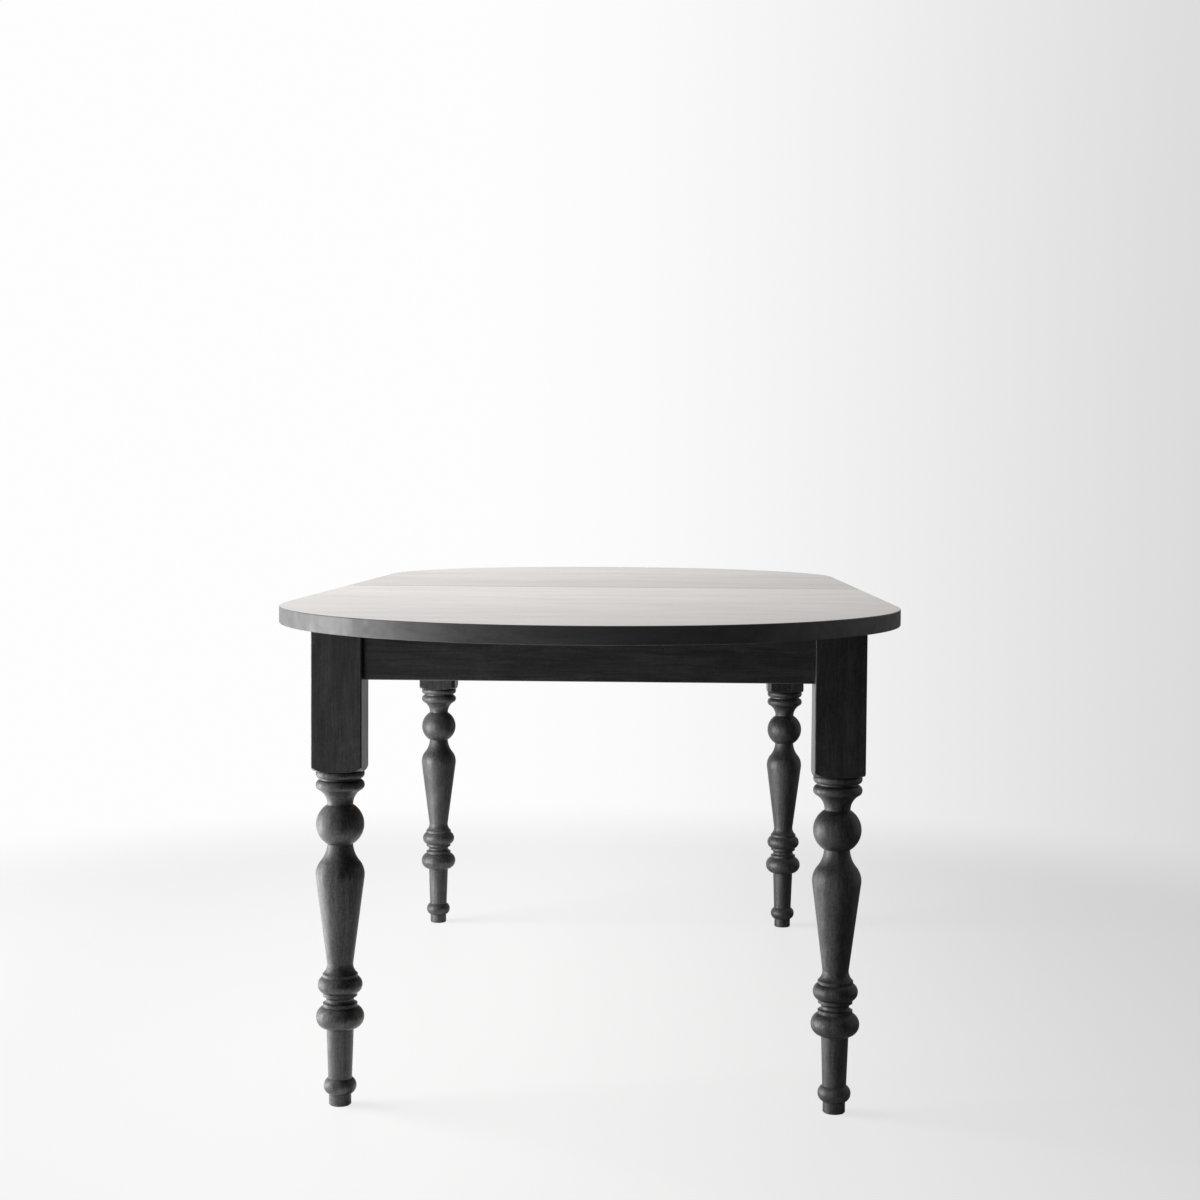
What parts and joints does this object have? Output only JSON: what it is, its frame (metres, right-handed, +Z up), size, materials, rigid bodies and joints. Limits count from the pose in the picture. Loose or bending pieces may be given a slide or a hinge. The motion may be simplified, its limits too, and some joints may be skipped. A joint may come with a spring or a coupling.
{
  "type": "oval extension dining table",
  "caption": "Oval extension dining table in black-stained wood: split top on wooden slides, plain aprons and turned legs with square posts; one half pulls out for leaves.",
  "frame": {"origin": "on the floor under the middle of the closed table", "axes": "+Z up, +Y along the length from the front half to the rear half, +X to the right seen from the front end"},
  "size_m": [0.936, 2.2798, 0.762],
  "materials": {
    "black_wood": "black stain under satin varnish",
    "block_wood": "raw sawn softwood",
    "slide_wood": "planed and waxed hardwood",
    "dowel_wood": "smooth beech dowel",
    "zinc_steel": "zinc plated",
    "lock_steel": "zinc plated pressed steel"
  },
  "bodies": {
    "front_half": {"top_front": "black_wood", "apron_front_end": "black_wood", "top_buttons_front": "block_wood", "button_screws_front": "zinc_steel", "slide_screws_front": "zinc_steel", "lock_screws_front": "zinc_steel", "apron_front_left": "black_wood", "slide_front_left": "slide_wood", "leg_front_left": "black_wood", "corner_block_front_left": "block_wood", "hanger_bolts_front_left": "zinc_steel", "bolt_washers_front_left": "zinc_steel", "bolt_nuts_front_left": "zinc_steel", "block_screws_front_left": "zinc_steel", "apron_front_right": "black_wood", "slide_front_right": "slide_wood", "leg_front_right": "black_wood", "corner_block_front_right": "block_wood", "hanger_bolts_front_right": "zinc_steel", "bolt_washers_front_right": "zinc_steel", "bolt_nuts_front_right": "zinc_steel", "block_screws_front_right": "zinc_steel", "lock_plates": "lock_steel", "lock_rivets": "lock_steel"},
    "rear_half": {"top_rear": "black_wood", "apron_rear_end": "black_wood", "top_buttons_rear": "block_wood", "button_screws_rear": "zinc_steel", "slide_screws_rear": "zinc_steel", "lock_screws_rear": "zinc_steel", "apron_rear_left": "black_wood", "slide_rear_left": "slide_wood", "leg_rear_left": "black_wood", "corner_block_rear_left": "block_wood", "hanger_bolts_rear_left": "zinc_steel", "bolt_washers_rear_left": "zinc_steel", "bolt_nuts_rear_left": "zinc_steel", "block_screws_rear_left": "zinc_steel", "apron_rear_right": "black_wood", "slide_rear_right": "slide_wood", "leg_rear_right": "black_wood", "corner_block_rear_right": "block_wood", "hanger_bolts_rear_right": "zinc_steel", "bolt_washers_rear_right": "zinc_steel", "bolt_nuts_rear_right": "zinc_steel", "block_screws_rear_right": "zinc_steel", "lock_keepers": "lock_steel", "alignment_pins": "dowel_wood"},
    "slide_middle_left": {"slide_middle_left": "slide_wood", "slide_stop_pegs_left": "dowel_wood"},
    "slide_middle_right": {"slide_middle_right": "slide_wood", "slide_stop_pegs_right": "dowel_wood"},
    "lock_lever_left": {"lock_lever_left": "lock_steel"},
    "lock_lever_right": {"lock_lever_right": "lock_steel"}
  },
  "joints": [
    {"name": "extension", "type": "slide", "parent": "front_half", "child": "rear_half", "axis": [0, 1, 0], "range_m": [0, 0.6]},
    {"name": "slide_middle_left_travel", "type": "slide", "parent": "front_half", "child": "slide_middle_left", "axis": [0, 1, 0], "range_m": [0, 0.3]},
    {"name": "slide_middle_right_travel", "type": "slide", "parent": "front_half", "child": "slide_middle_right", "axis": [0, 1, 0], "range_m": [0, 0.3]},
    {"name": "lock_left_swing", "type": "hinge", "parent": "front_half", "child": "lock_lever_left", "pos_m": [-0.27, -0.028, 0.7327], "axis": [0, 0, -1], "range_deg": [0, 90]},
    {"name": "lock_right_swing", "type": "hinge", "parent": "front_half", "child": "lock_lever_right", "pos_m": [0.27, -0.028, 0.7327], "axis": [0, 0, 1], "range_deg": [0, 90]}
  ],
  "couplings": [
    {"joint": "slide_middle_left_travel", "follows": "extension", "ratio": 0.5},
    {"joint": "slide_middle_right_travel", "follows": "extension", "ratio": 0.5}
  ]
}
